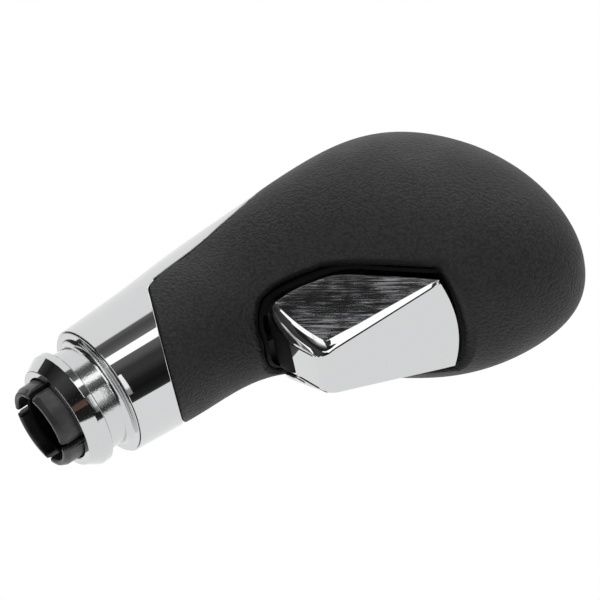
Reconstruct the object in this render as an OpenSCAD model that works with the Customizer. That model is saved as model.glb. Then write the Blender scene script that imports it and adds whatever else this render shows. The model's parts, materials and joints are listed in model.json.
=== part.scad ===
// Gear shift knob with a front trigger, for a lever with a push rod inside.
// The origin is the centre of the lever bore's mouth. +Z runs up the lever, +X points to the trigger.

/* [Neck] */
// Diameter of the lever that the knob fits on
lever_d = 12; // [11.9:0.05:12.1]
// Depth of the lever bore
bore_depth = 26; // [24:0.5:26]
// Wall of the chrome collar at its lower rim
collar_wall = 1.5; // [1.4:0.05:1.6]
// Height of the flange's lower edge above the mouth of the bore
flange_z = 2.1; // [1.8:0.1:2.4]
// Width of the flange's straight band
flange_w = 1.4; // [1.2:0.1:1.6]
// How far the flange stands out from the gaiter groove
flange_lip = 1.4; // [1.2:0.1:1.6]
// Wall of the sleeve behind the gaiter groove
groove_wall = 1.5; // [1.3:0.05:1.7]
// How far the locking fingers stand out below the bore
finger_drop = 2; // [1.5:0.1:2.5]
// Width of the slots between the locking fingers
slot_w = 2.2; // [1.6:0.1:2.6]

/* [Grip] */
// Height of the top of the head
head_top = 104; // [103:0.2:105]
// Thickness of the leather
skin = 1.5; // [1.3:0.05:1.6]
// Slope of the line where the leather meets the collar
collar_slope = 0.52; // [0.48:0.01:0.56]
// Height of that line at the lever's axis
collar_line = 28.5; // [28:0.1:29]

/* [Trigger] */
// How far the trigger turns when it is squeezed, in degrees
trigger_turn = 10; // [6:0.5:10]
// Wall of the chrome cap
cap_wall = 1.2; // [1:0.05:1.25]
// Wall of the black liner around the trigger
liner_wall = 0.8; // [0.6:0.05:0.9]
// Diameter of the trigger's hinge pin
trigger_pin_d = 2.5; // [2.3:0.05:2.6]

/* [Linkage] */
// Diameter of the plunger's rod
rod_d = 4; // [3.8:0.05:4.1]
// Diameter of the rocker's pin
rocker_pin_d = 2; // [1.8:0.05:2.1]
// Width of the rocker
rocker_w = 5; // [4.5:0.1:5.4]

/* [Hidden] */

// clearances between mating parts
seat = 0.1;
running = 0.05;
snug = 0.02;
far = 80;

// neck, from the axis outwards
socket_nose_wall = 0.95;
socket_wall = 1.95;
collet_wall = 1.5;
collet_step = 0.5;
core_neck_wall = 2.8;
sleeve_wall = 0.9;
bore_r = lever_d / 2 + running;
socket_nose_r = bore_r + socket_nose_wall;
socket_r = bore_r + socket_wall;
socket_nose = 8;
socket_roof = 4;
collet_r_in = socket_nose_r + seat;
collet_r = collet_r_in + collet_wall;
collet_foot_r = collet_r + collet_step;
core_neck_in = socket_r + seat;
core_neck_r = core_neck_in + core_neck_wall;
sleeve_neck_in = core_neck_r + seat;
sleeve_neck_r = sleeve_neck_in + sleeve_wall;
collar_in = sleeve_neck_r + seat;
rim_r = collar_in + collar_wall;
sleeve_foot_in = collet_foot_r + seat;
groove_r = sleeve_foot_in + groove_wall;
flange_r = groove_r + flange_lip;
cone_h = 2.9;
shoulder_h = 0.4;
groove_flat = 2.8;
cove_r = 2;
rim_lip = 0.6;
flange_low = flange_z + cone_h;
flange_high = flange_low + flange_w;
cove_z = flange_high + shoulder_h + groove_flat;
rim_z = cove_z + cove_r + rim_lip;
sleeve_reach = 8;
sleeve_top = rim_z + sleeve_reach;
core_shoulder = sleeve_top + sleeve_wall;
collet_top = rim_z - 0.2;
collet_foot_z = 5;
ring_wire = 0.4;
ring_groove = 0.7;
ring_z = 3.4;

// leather shape: height, front, back, half width and roundness, at the control rows of its spline
pivot = [27, 66.5];
waist_drop = 8.5;
head_base = pivot[1] - waist_drop;
bulge_rise = 14;
head_bulge = head_base + bulge_rise;
control_rows = [
    [rim_z, rim_r, -rim_r, rim_r, 2],
    [20, rim_r + 0.7, -rim_r - 0.6, rim_r + 0.4, 2],
    [28, rim_r + 1.5, -rim_r - 1.1, rim_r + 0.7, 2],
    [36, rim_r + 0.5, -rim_r - 1.8, rim_r + 1.1, 2.1],
    [46, 17, -17.2, 14.2, 2.15],
    [head_base, 26, -14.2, 19.5, 2.15],
    [head_bulge, 44.5, -13.8, 24.3, 2.15],
    [(head_bulge + head_top) / 2, 50.5, -14.2, 22.4, 2.15],
    [head_top * 0.85 + head_bulge * 0.15, 48.5, -4.8, 16.8, 2.15],
    [head_top, 37, 8, 10.6, 2.1],
    [head_top, 21.6, 21.6, 0, 2]
];
loft_levels = 25;
loft_sides = 36;

// tongue of the collar, seen from the side
tongue_h = 43.5;
tongue_corner = [-2, collar_line + collar_slope * 2];
tongue_line = [[-3.6, collar_line + 4.5], [-4.8, collar_line + 15], [-5.4, collar_line + 21.5]];
tongue_tip = [-14.5, collar_line + tongue_h];
tongue_bow = 26;

// trigger: corners as they lie at rest, on the side of negative y
trigger_top = [38.2, 10.75, 69.7];
trigger_bow = 1.2;
trigger_arch = 0.9;
trigger_toe = [31.9, 4.85, 44.3];
trigger_under = [22.7, 5.6, 43.3];
trigger_heel = [15.2, 8.4, 46];
trigger_side = [22.1, 11.7, 56.8];
trigger_cheek = [29.4, 11.5, 63];
trigger_back = [35.6, 10.75, 69.7];
cap_round = cap_wall + 0.1;
hub_wall = 1.7;
hub_r = trigger_pin_d / 2 + hub_wall;
cheek_in = rocker_w / 2 + 0.7;
cheek_out = 7.6;
trigger_pin_half = 14.6;

// opening for the trigger, seen from the front
opening_low = [3, 49];
opening_low_r = 7;
opening_mid = [4.4, 60];
opening_mid_r = 9;
opening_top = [11.2, 70.7];
opening_top_r = 1;
heel_swing = (pivot[1] - trigger_heel[2]) * sin(trigger_turn);
pocket_room = 0.6;
pocket_back = trigger_heel[0] - heel_swing - pocket_room;
liner_back = pocket_back + 1;

// rocker and plunger
rocker_axis = [8.4, 48.5];
rocker_hub_wall = 1.2;
rocker_hub_r = rocker_pin_d / 2 + rocker_hub_wall;
input_pad = [10.2, 54];
input_pad_r = 1.6;
output_pad = [0.3, 47.6];
output_pad_r = 1.4;
rocker_pin_half = 4.7;
pad_gap = 0.3;
nose_back = input_pad[0] + input_pad_r + pad_gap;
plunger_top = output_pad[1] - output_pad_r - pad_gap;
rod_r = rod_d / 2;
side_play = 0.5;
spring_wire_r = 0.4;
spring_r = rod_r + spring_wire_r + side_play;
plunger_rim = 0.3;
plunger_head_r = spring_r + spring_wire_r + plunger_rim;
plunger_head_h = 1.8;
plunger_under = plunger_top - plunger_head_h;
tip_wall = 0.4;
tip_r = rod_r + tip_wall;
tip_play = 0.2;
tip_z = bore_depth + 0.3;
tip_h = 2.6;
tip_floor = 0.8;
tip_stub_r = 1.2;
guide_z = bore_depth + socket_roof;
guide_h = 6;
guide_r = 5.5;
guide_top = guide_z + guide_h;
chamber_r = plunger_head_r + side_play;
cavity_half = rocker_w / 2 + side_play + 0.2;
cavity_low = 43;
cavity_high = 59;
cavity_back = -4.5;
coil_steps = 12;
spring_turns = 5;
torsion_wire_r = 0.35;
torsion_r = trigger_pin_d / 2 + torsion_wire_r + 0.4;
torsion_turns = 3;
torsion_leg = 2.2;

// screws that join the core halves, seen from the side, each with half its grip
screw_r = 1.5;
screw_head_r = 2.8;
screw_head_h = 2;
head_mid = (opening_top[1] + opening_top_r + head_top) / 2;
head_wall = 3.6;
screws = [[-8.4, 42, 5], [-6.5, 64, 8.5], [2, head_mid, 12], [37, head_mid, 11.5]];
head_hollow = [20, head_mid];
head_hollow_r = head_top - head_mid - head_wall;
head_hollow_half = 12;
bumper_at = [6.8, 50];
bumper_r = 1.8;
bumper_front = pocket_back + 0.35;
bumper_depth = 3;

chrome = [0.82, 0.83, 0.85];
black = [0.07, 0.07, 0.08];
hide = [0.17, 0.17, 0.18];
steel = [0.62, 0.63, 0.65];
nylon = [0.2, 0.2, 0.21];

// clamped cubic spline through the control rows
function knot(j, n) = min(max(j - 3, 0), n - 3);
function share(top, bottom) = bottom > 0 ? top / bottom : 0;
function blend(j, p, u, n) = p == 0
    ? (u >= knot(j, n) && u < knot(j + 1, n) ? 1 : 0)
    : share(u - knot(j, n), knot(j + p, n) - knot(j, n)) * blend(j, p - 1, u, n)
        + share(knot(j + p + 1, n) - u, knot(j + p + 1, n) - knot(j + 1, n)) * blend(j + 1, p - 1, u, n);
function total(rows, weights, j = 0) = j == len(rows) - 1
    ? rows[j] * weights[j]
    : rows[j] * weights[j] + total(rows, weights, j + 1);
function level(rows, u) = total(rows, [for (j = [0 : len(rows) - 1]) blend(j, 3, u, len(rows))]);

// control rows moved inwards by the same depth all round
function sunk(depth) = [
    for (row = control_rows)
        let (drop = depth * max(0, (row[0] - head_base) / (head_top - head_base)))
            row[3] > 0
                ? [row[0] - drop, row[1] - depth, row[2] + depth, row[3] - depth, row[4]]
                : [row[0] - drop, row[1], row[2], 0, row[4]]
];

// one ring of the loft: an ellipse with slightly squared shoulders
function bend(v, power) = sign(v) * pow(abs(v), power);
function ring(row) = [
    for (i = [0 : loft_sides - 1])
        let (turn = 360 * i / loft_sides)
            [
                (row[1] + row[2]) / 2 + (row[1] - row[2]) / 2 * bend(cos(turn), 2 / row[4]),
                row[3] * bend(sin(turn), 2 / row[4]),
                row[0]
            ]
];

// faces between rings of a closed tube of points, with the first ring closed and the last drawn to one point
function band(k, n) = [
    for (i = [0 : n - 1])
        let (a = k * n + i, b = k * n + (i + 1) % n)
            each [[a, a + n, b], [b, a + n, b + n]]
];
module grip_form(depth) {
    rows = sunk(depth);
    spans = len(rows) - 3;
    rings = [for (k = [0 : loft_levels - 1]) ring(level(rows, spans * k / loft_levels))];
    last = rows[len(rows) - 1];
    points = [each [for (r = rings) each r], [last[1], 0, last[0]]];
    polyhedron(
        points = points,
        faces = [
            [for (i = [0 : loft_sides - 1]) i],
            each [for (k = [0 : loft_levels - 2]) each band(k, loft_sides)],
            each [
                for (i = [0 : loft_sides - 1])
                    [
                        (loft_levels - 1) * loft_sides + i,
                        len(points) - 1,
                        (loft_levels - 1) * loft_sides + (i + 1) % loft_sides
                    ]
            ]
        ]
    );
}

// a round wire along any line of points
function unit(v) = v / norm(v);
function wire_ring(path, k, r, sides) =
    let (ahead = unit(path[min(k + 1, len(path) - 1)] - path[max(k - 1, 0)]))
        let (side = unit(cross(ahead, abs(ahead[2]) < 0.9 ? [0, 0, 1] : [1, 0, 0])))
            let (up = cross(side, ahead))
                [
                    for (i = [0 : sides - 1])
                        let (turn = 360 * i / sides)
                            path[k] + r * (cos(turn) * side + sin(turn) * up)
                ];
module wire(path, r, sides = 6) {
    last = len(path) - 1;
    polyhedron(
        points = [for (k = [0 : last]) each wire_ring(path, k, r, sides)],
        faces = [
            [for (i = [sides - 1 : -1 : 0]) i],
            each [
                for (k = [0 : last - 1])
                    each [
                        for (i = [0 : sides - 1])
                            let (a = k * sides + i, b = k * sides + (i + 1) % sides)
                                each [[a, b, a + sides], [b, b + sides, a + sides]]
                    ]
            ],
            [for (i = [0 : sides - 1]) last * sides + i]
        ]
    );
}

// side view outlines are drawn in x and z and stand across the knob
module across(half) {
    translate([0, half, 0])
        rotate([90, 0, 0])
            linear_extrude(2 * half)
                children();
}
module cross_pin(at, r, half) {
    translate([at[0], half, at[1]])
        rotate([90, 0, 0])
            cylinder(h = 2 * half, r = r, $fn = 48);
}

// the stretch from one point to another along a shallow arc round a centre to the left of the way
function heading(from, to) = atan2(to[1] - from[1], to[0] - from[0]);
function bowed(a, b, radius, steps) =
    let (half = (b - a) / 2, rise = sqrt(radius * radius - half * half))
        let (centre = a + half + rise * unit([-half[1], half[0]]))
            let (start = heading(centre, a), sweep = heading(centre, b) - start)
                [
                    for (k = [1 : steps])
                        let (turn = start + sweep * k / steps)
                            centre + radius * [cos(turn), sin(turn)]
                ];
module collar_outline(gap = 0) {
    line_front = collar_line - collar_slope * far / 2;
    offset(delta = -gap)
        polygon([
            [far / 2, line_front],
            tongue_corner,
            each tongue_line,
            each bowed(tongue_line[2], tongue_tip, tongue_bow, 5),
            [-far, tongue_tip[1] + 1],
            [-far, -far],
            [far / 2, -far]
        ]);
}

// the trigger's opening, seen from the front and drawn in y and z
module opening(inset) {
    hull()
        for (side = [-1, 1]) {
            translate([side * opening_low[0], opening_low[1]])
                circle(r = opening_low_r - inset, $fn = 48);
            translate([side * opening_mid[0], opening_mid[1]])
                circle(r = opening_mid_r - inset, $fn = 48);
            translate([side * opening_top[0], opening_top[1]])
                circle(r = opening_top_r - inset, $fn = 32);
        }
}
module forward(from) {
    translate([from, 0, 0])
        rotate([90, 0, 90])
            linear_extrude(far)
                children();
}

module leather_cover() {
    color(hide)
        difference() {
            grip_form(0);
            grip_form(skin);
            across(far / 2)
                collar_outline();
            forward(pocket_back)
                opening(0);
        }
}

module chrome_collar() {
    color(chrome)
        difference() {
            intersection() {
                grip_form(0);
                across(far / 2)
                    collar_outline(seat * 1.5);
            }
            difference() {
                grip_form(skin);
                translate([-far / 2, -far / 2, -far + core_shoulder])
                    cube([far, far, far]);
            }
            translate([0, 0, rim_z - 1])
                cylinder(h = core_shoulder - rim_z + 2, r = collar_in, $fn = 96);
        }
}

// the gaiter's groove, turned in one piece with the ring below it
module neck_sleeve() {
    bore_low = collet_r + 0.3;
    step_z = collet_foot_z - 0.2;
    shelf_z = collet_top + seat;
    color(chrome)
        rotate_extrude($fn = 96)
            difference() {
                polygon([
                    [bore_low, flange_z + 0.3],
                    [bore_low + 0.3, flange_z],
                    [flange_r - 1.7, flange_z],
                    [flange_r - 1.4, flange_z + 0.3],
                    [flange_r - 0.6, flange_z + 1.6],
                    [flange_r, flange_low],
                    [flange_r, flange_high],
                    [flange_r - 0.2, flange_high + 0.2],
                    [groove_r, flange_high + shoulder_h],
                    [groove_r, cove_z],
                    [groove_r + cove_r, cove_z + cove_r],
                    [groove_r + cove_r, rim_z - seat],
                    [sleeve_neck_r, rim_z - seat],
                    [sleeve_neck_r, sleeve_top],
                    [sleeve_neck_in, sleeve_top],
                    [sleeve_neck_in, shelf_z],
                    [sleeve_foot_in, shelf_z],
                    [sleeve_foot_in, step_z],
                    [bore_low, step_z]
                ]);
                translate([groove_r + cove_r, cove_z])
                    circle(r = cove_r, $fn = 48);
            }
}

// slotted collet whose fingers snap over a groove in the lever's base
module clip_collet() {
    color(black)
        difference() {
            rotate_extrude($fn = 96)
                polygon([
                    [collet_r_in + 0.2, -finger_drop],
                    [collet_r - 0.5, -finger_drop],
                    [collet_r, -finger_drop + 0.5],
                    [collet_r, ring_z - ring_wire - snug],
                    [collet_r - ring_groove - snug, ring_z - ring_wire - snug],
                    [collet_r - ring_groove - snug, ring_z + ring_wire + snug],
                    [collet_r, ring_z + ring_wire + snug],
                    [collet_r, collet_foot_z],
                    [collet_foot_r, collet_foot_z],
                    [collet_foot_r, collet_top],
                    [core_neck_in, collet_top],
                    [core_neck_in, socket_nose],
                    [collet_r_in, socket_nose],
                    [collet_r_in, -finger_drop + 0.2]
                ]);
            for (turn = [0, 90])
                rotate([0, 0, turn])
                    translate([-far / 2, -slot_w / 2, -finger_drop - 1])
                        cube([far, slot_w, collet_foot_z + finger_drop + 1.4]);
        }
}

// open wire ring that holds the fingers shut
module grip_ring() {
    color(steel)
        rotate([0, 0, 20])
            rotate_extrude(angle = 320, $fn = 96)
                translate([collet_r - ring_groove + ring_wire, ring_z])
                    circle(r = ring_wire, $fn = 24);
}

module lever_socket() {
    color(nylon)
        difference() {
            rotate_extrude($fn = 96)
                polygon([
                    [bore_r, 0],
                    [socket_nose_r - 0.2, 0],
                    [socket_nose_r, 0.2],
                    [socket_nose_r, socket_nose],
                    [socket_r, socket_nose],
                    [socket_r, guide_z],
                    [tip_r + tip_play, guide_z],
                    [tip_r + tip_play, bore_depth],
                    [bore_r, bore_depth]
                ]);
            for (side = [-1, 1])
                translate([-1, side * (socket_r - 0.5) - 0.6, guide_z - 8])
                    cube([2, 1.2, 9]);
        }
}

// core halves: the solid that both are cut from
module core_body() {
    difference() {
        union() {
            difference() {
                grip_form(skin + seat);
                translate([-far / 2, -far / 2, -far + core_shoulder])
                    cube([far, far, far]);
            }
            translate([0, 0, rim_z])
                cylinder(h = core_shoulder - rim_z + 1, r = core_neck_r, $fn = 96);
        }
        core_bores();
        forward(pocket_back)
            opening(0);
        translate([cavity_back, -cavity_half, cavity_low])
            cube([pocket_back - cavity_back + 1, 2 * cavity_half, cavity_high - cavity_low]);
        for (side = [-1, 1])
            translate([bumper_front - bumper_depth, side * bumper_at[0], bumper_at[1]])
                rotate([0, 90, 0])
                    cylinder(h = far, r = bumper_r, $fn = 48);
        cross_pin(head_hollow, head_hollow_r, head_hollow_half);
        cross_pin(pivot, trigger_pin_d / 2 + snug, trigger_pin_half + seat);
        cross_pin(rocker_axis, rocker_pin_d / 2 + snug, rocker_pin_half + seat);
    }
}
module core_bores() {
    translate([0, 0, rim_z - 1])
        cylinder(h = guide_z - rim_z + 1, r = core_neck_in, $fn = 96);
    cylinder(h = guide_top + seat, r = guide_r + snug, $fn = 72);
    cylinder(h = cavity_low + 3, r = chamber_r, $fn = 72);
    for (s = screws) {
        translate([s[0], s[2], s[1]])
            rotate([90, 0, 0])
                cylinder(h = 2 * s[2] + 1, r = screw_r + snug, $fn = 32);
        translate([s[0], -s[2], s[1]])
            rotate([90, 0, 0])
                cylinder(h = far, r = screw_head_r + seat, $fn = 48);
    }
}

module core_left() {
    color(nylon)
        difference() {
            core_body();
            translate([-far, -2 * far + snug, -far])
                cube([2 * far, 2 * far, 3 * far]);
        }
}

module core_right() {
    color(nylon)
        difference() {
            core_body();
            translate([-far, -snug, -far])
                cube([2 * far, 2 * far, 3 * far]);
        }
}

module core_screws() {
    color(steel)
        for (s = screws)
            translate([s[0], -s[2], s[1]])
                rotate([90, 0, 0])
                    difference() {
                        union() {
                            cylinder(h = screw_head_h, r = screw_head_r, $fn = 48);
                            translate([0, 0, -2 * s[2] + 0.5])
                                cylinder(h = 2 * s[2], r = screw_r, $fn = 32);
                        }
                        translate([-screw_head_r, -0.4, screw_head_h - 0.9])
                            cube([2 * screw_head_r, 0.8, 1]);
                        translate([-0.4, -screw_head_r, screw_head_h - 0.9])
                            cube([0.8, 2 * screw_head_r, 1]);
                    }
}

module plunger_guide() {
    color(black)
        translate([0, 0, guide_z])
            difference() {
                cylinder(h = guide_h, r = guide_r, $fn = 72);
                translate([0, 0, -1])
                    cylinder(h = guide_h + 2, r = rod_r + running, $fn = 48);
                translate([0, 0, -1])
                    cylinder(h = 2.4, r = tip_r + tip_play, $fn = 48);
            }
}

module plunger() {
    color(steel)
        union() {
            translate([0, 0, plunger_under])
                cylinder(h = plunger_head_h, r = plunger_head_r, $fn = 72);
            translate([0, 0, tip_z + tip_h])
                cylinder(h = plunger_under - tip_z - tip_h, r = rod_r, $fn = 48);
            translate([0, 0, tip_z + tip_floor])
                cylinder(h = tip_h, r = tip_stub_r, $fn = 32);
        }
}

module plunger_tip() {
    color("white")
        difference() {
            translate([0, 0, tip_z])
                cylinder(h = tip_h, r = tip_r, $fn = 48);
            translate([0, 0, tip_z + tip_floor])
                cylinder(h = tip_h, r = tip_stub_r, $fn = 32);
        }
}

module plunger_spring() {
    low = guide_top + spring_wire_r + running;
    high = plunger_under - spring_wire_r - running;
    steps = spring_turns * coil_steps;
    color(steel)
        wire(
            [
                for (k = [0 : steps])
                    [
                        spring_r * cos(360 * k / coil_steps),
                        spring_r * sin(360 * k / coil_steps),
                        low + (high - low) * k / steps
                    ]
            ],
            spring_wire_r
        );
}

// bell crank: the trigger pushes its upper pad back, and its rear pad pushes the plunger down
module rocker() {
    color(black)
        difference() {
            union() {
                cross_pin(rocker_axis, rocker_hub_r, rocker_w / 2);
                arm(rocker_axis, input_pad, rocker_hub_r - 0.7, input_pad_r, rocker_w / 2);
                arm(rocker_axis, output_pad, rocker_hub_r - 0.7, output_pad_r, rocker_w / 2);
            }
            cross_pin(rocker_axis, rocker_pin_d / 2 + running, rocker_w);
        }
}
// a straight web that ends in a round pad
module arm(a, b, ra, rb, half) {
    way = unit(b - a);
    left = [-way[1], way[0]];
    across(half)
        polygon([a + left * ra, b + left * rb * 0.95, b - left * rb * 0.95, a - left * ra]);
    cross_pin(b, rb, half);
}

module rocker_pin() {
    color(steel)
        cross_pin(rocker_axis, rocker_pin_d / 2, rocker_pin_half);
}

module trigger_pin() {
    color(steel)
        cross_pin(pivot, trigger_pin_d / 2, trigger_pin_half);
}

// corners of the trigger, moved in so that balls of the edge's radius just touch its faces
function corner(p, side, dx, dz) = [p[0] + dx * cap_round, side * (p[1] - cap_round), p[2] + dz * cap_round];
function trigger_corners() = [
    for (side = [-1, 1])
        each [
            corner(trigger_toe, side, -1, 1),
            corner(trigger_under, side, 0, 1),
            corner(trigger_heel, side, 1, 1),
            corner(trigger_side, side, 0.7, -0.7),
            corner(trigger_cheek, side, 0.7, -0.7),
            corner(trigger_back, side, 0, -1)
        ],
    for (k = [-2 : 2])
        let (y = k / 2 * (trigger_top[1] - cap_round))
            let (rise = 1 - k * k / 4)
                [
                    trigger_top[0] - cap_round + trigger_bow * rise,
                    y,
                    trigger_top[2] - cap_round + trigger_arch * rise
                ]
];
module trigger_form(r, fine) {
    hull()
        for (p = trigger_corners())
            translate(p)
                sphere(r = r, $fn = fine);
}

module trigger_cap() {
    color(chrome)
        difference() {
            trigger_form(cap_round, 20);
            hull()
                for (p = trigger_corners(), back = [0, 7])
                    translate(p - [back, 0, -back])
                        cube(2 * (cap_round - cap_wall), center = true);
            translate([trigger_heel[0] - 4, -trigger_under[1] - 0.4, trigger_under[2] - 4])
                cube([trigger_under[0] - trigger_heel[0] + 4, 2 * trigger_under[1] + 0.8, 8]);
        }
}

// black body inside the cap, with the hinge lugs and the nose that pushes the rocker
module trigger_carrier() {
    lug_top = [trigger_back[0] - 1, pivot[1] + hub_r - 0.5];
    lug_low = [trigger_cheek[0], trigger_cheek[2] - 4];
    color(black)
        difference() {
            union() {
                hull()
                    for (p = trigger_corners())
                        translate(p)
                            cube(0.06, center = true);
                for (side = [-1, 1])
                    translate([0, side * (cheek_in + cheek_out) / 2, 0])
                        across((cheek_out - cheek_in) / 2) {
                            translate(pivot)
                                circle(r = hub_r, $fn = 48);
                            polygon([
                                pivot + [-hub_r, 0],
                                pivot + [0, hub_r],
                                lug_top,
                                lug_top - [0, 2 * hub_r],
                                lug_low,
                                pivot + [-hub_r, -1]
                            ]);
                        }
                across(rocker_w / 2 - 0.4)
                    polygon([
                        [nose_back, input_pad[1] - 4],
                        [nose_back, input_pad[1] + 2],
                        [trigger_side[0] + 4, trigger_side[2] + 1],
                        [trigger_side[0] + 4, trigger_heel[2] + 2],
                        [nose_back + 5, trigger_heel[2] + 2]
                    ]);
            }
            cross_pin(pivot, trigger_pin_d / 2 + running, far / 4);
            across(cheek_in)
                translate(pivot)
                    circle(r = torsion_r + 1.6, $fn = 48);
        }
}

// black liner that closes the gap between the leather and the trigger
module trigger_bezel() {
    color(black)
        difference() {
            intersection() {
                grip_form(1);
                forward(liner_back)
                    opening(seat);
            }
            forward(liner_back - 1)
                opening(liner_wall);
            cross_pin(pivot, trigger_pin_d / 2 + running, far / 4);
        }
}

// torsion spring on the hinge pin, with its long leg against the core and its short one in the carrier
module trigger_spring() {
    steps = torsion_turns * coil_steps;
    width = 2.6 * torsion_wire_r * torsion_turns;
    top = pivot[1] + torsion_r;
    color(steel)
        wire(
            [
                [pocket_back + seat, -width / 2, top],
                for (k = [0 : steps])
                    [
                        pivot[0] + torsion_r * sin(360 * k / coil_steps),
                        width * (k / steps - 0.5),
                        pivot[1] + torsion_r * cos(360 * k / coil_steps)
                    ],
                [pivot[0] + torsion_leg, width / 2, top]
            ],
            torsion_wire_r
        );
}

module stop_bumpers() {
    color(black)
        for (side = [-1, 1])
            translate([bumper_front - bumper_depth, side * bumper_at[0], bumper_at[1]])
                rotate([0, 90, 0])
                    cylinder(h = bumper_depth, r = bumper_r - snug, $fn = 48);
}

leather_cover();
core_left();
core_right();
core_screws();
chrome_collar();
neck_sleeve();
clip_collet();
grip_ring();
lever_socket();
plunger_guide();
plunger();
plunger_tip();
plunger_spring();
rocker();
rocker_pin();
trigger_cap();
trigger_carrier();
trigger_bezel();
trigger_pin();
trigger_spring();
stop_bumpers();
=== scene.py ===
# %% [markdown]
# # A gear shift knob with a trigger, dressed in leather and chrome
# The knob's inner parts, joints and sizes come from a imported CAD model, the frame.
# This script loads that frame and builds the surfaces that the eye sees: the leather,
# the chrome collar, the turned neck, the locking fingers and the faceted trigger.

# %% Load the frame
import json
import math

import bmesh
import bpy
import numpy as np
from mathutils import Matrix, Vector


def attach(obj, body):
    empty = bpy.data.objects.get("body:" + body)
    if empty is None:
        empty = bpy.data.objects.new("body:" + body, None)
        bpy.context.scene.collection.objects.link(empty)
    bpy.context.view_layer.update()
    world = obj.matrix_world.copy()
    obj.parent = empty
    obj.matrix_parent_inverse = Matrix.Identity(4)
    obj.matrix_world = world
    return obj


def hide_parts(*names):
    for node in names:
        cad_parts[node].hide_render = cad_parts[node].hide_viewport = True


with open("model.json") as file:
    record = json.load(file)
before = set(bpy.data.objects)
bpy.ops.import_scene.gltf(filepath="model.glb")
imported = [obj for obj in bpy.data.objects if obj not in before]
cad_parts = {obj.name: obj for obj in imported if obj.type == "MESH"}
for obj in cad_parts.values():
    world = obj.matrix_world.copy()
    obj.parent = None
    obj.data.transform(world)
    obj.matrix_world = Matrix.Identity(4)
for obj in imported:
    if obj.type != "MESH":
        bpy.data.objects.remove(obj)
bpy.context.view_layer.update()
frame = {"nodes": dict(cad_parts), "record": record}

MM = 0.001

# %% [markdown]
# ## From arrays to a mesh
# On the real knob every outer part is a smooth shell or a turned ring. Such a surface can
# be pulled about by hand, but it is exact and easy to change when it is worked out as a
# grid of points. The helpers below turn a grid into faces, and points and faces into an
# object that rides on a body of the frame. The normals may be given too: chrome shows
# every dent in the shading, and normals taken from the formula have none.

# %% Grid, mesh and piece helpers


def cells(rows, cols, wrap_rows=True, wrap_cols=True, first=0):
    """Corner numbers of a grid's cells. A cell joins a point, the next one in its row, and the
    same two in the next row. A wrapped side also joins its last line to its first."""
    r, c = np.meshgrid(
        np.arange(rows if wrap_rows else rows - 1),
        np.arange(cols if wrap_cols else cols - 1),
        indexing="ij",
    )
    below, beside = (r + 1) % rows, (c + 1) % cols
    corners = [r * cols + c, r * cols + beside, below * cols + beside, below * cols + c]
    return (np.stack(corners, -1) + first).reshape(-1, 4)


def piece(name, points, faces, material, body, cad_node, normals=None, merge=0.0):
    """A mesh object from points in millimetres. It rides on a body, stands for a CAD node and
    takes a material slot. Points closer than merge become one. Faces are turned outwards: all
    alike first, then over if they look at the middle. Given normals are kept as they are."""
    points = np.asarray(points, float).reshape(-1, 3)
    mesh = bpy.data.meshes.new(name)
    mesh.from_pydata((points * MM).tolist(), [], [list(map(int, f)) for f in faces])
    work = bmesh.new()
    work.from_mesh(mesh)
    if merge:
        bmesh.ops.remove_doubles(work, verts=work.verts, dist=merge * MM)
        bmesh.ops.dissolve_degenerate(work, edges=work.edges, dist=merge * MM)
    bmesh.ops.recalc_face_normals(work, faces=work.faces)
    middle = Vector(points.mean(0) * MM)
    if sum(f.calc_area() * f.normal.dot(f.calc_center_median() - middle) for f in work.faces) < 0:
        bmesh.ops.reverse_faces(work, faces=work.faces)
    work.to_mesh(mesh)
    work.free()
    mesh.shade_smooth()
    if normals is not None:
        normals = np.asarray(normals, float).reshape(-1, 3)
        normals /= np.linalg.norm(normals, axis=1, keepdims=True)
        mesh.normals_split_custom_set_from_vertices(normals.tolist())
    mesh.materials.append(material)
    made = bpy.data.objects.new(name, mesh)
    bpy.context.scene.collection.objects.link(made)
    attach(made, body)
    if cad_node:
        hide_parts(cad_node)
    low, high = points.min(0).round(1), points.max(0).round(1)
    print(f"{name}: {len(points)} points, {len(faces)} faces, from {low} to {high} mm")
    return made


# %% [markdown]
# ## Shader nodes in short
# A finish on a real part is never one flat colour: it has a grain, handling marks and
# small changes of gloss. In Blender these come from noise and cell patterns. The helpers
# add a node with its values and links, and start a material, so that each finish below
# stays readable. All patterns use Object coordinates, which are metres in the frame.

# %% Node helpers


def feed(tree, end, **values):
    """Gives a node's inputs their values. A pair of a node and its output is linked."""
    for key, value in values.items():
        give(tree, end.inputs[key.replace("_", " ")], value)


def give(tree, socket, value):
    """One input's value or link."""
    if isinstance(value, tuple) and isinstance(value[0], bpy.types.Node):
        tree.links.new(value[0].outputs[value[1]], socket)
    else:
        socket.default_value = value


def node(tree, kind, *values, **settings):
    """Adds a node. A setting whose name is an input's feeds that input, others set the node,
    and the values without a name feed the inputs in their order."""
    made = tree.nodes.new("ShaderNode" + kind)
    for key, value in settings.items():
        if key.replace("_", " ") in made.inputs:
            feed(tree, made, **{key: value})
        else:
            setattr(made, key, value)
    for socket, value in zip(made.inputs, values):
        give(tree, socket, value)
    return made


def finish_of(name, colour, **values):
    """A material with its shader. Returns the material, its tree and the Principled node."""
    made = bpy.data.materials.new(name)
    made.use_nodes = True
    tree = made.node_tree
    shader = tree.nodes["Principled BSDF"]
    feed(tree, shader, Base_Color=(*colour, 1), **values)
    made.diffuse_color = (*colour, 1)
    return made, tree, shader


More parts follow.
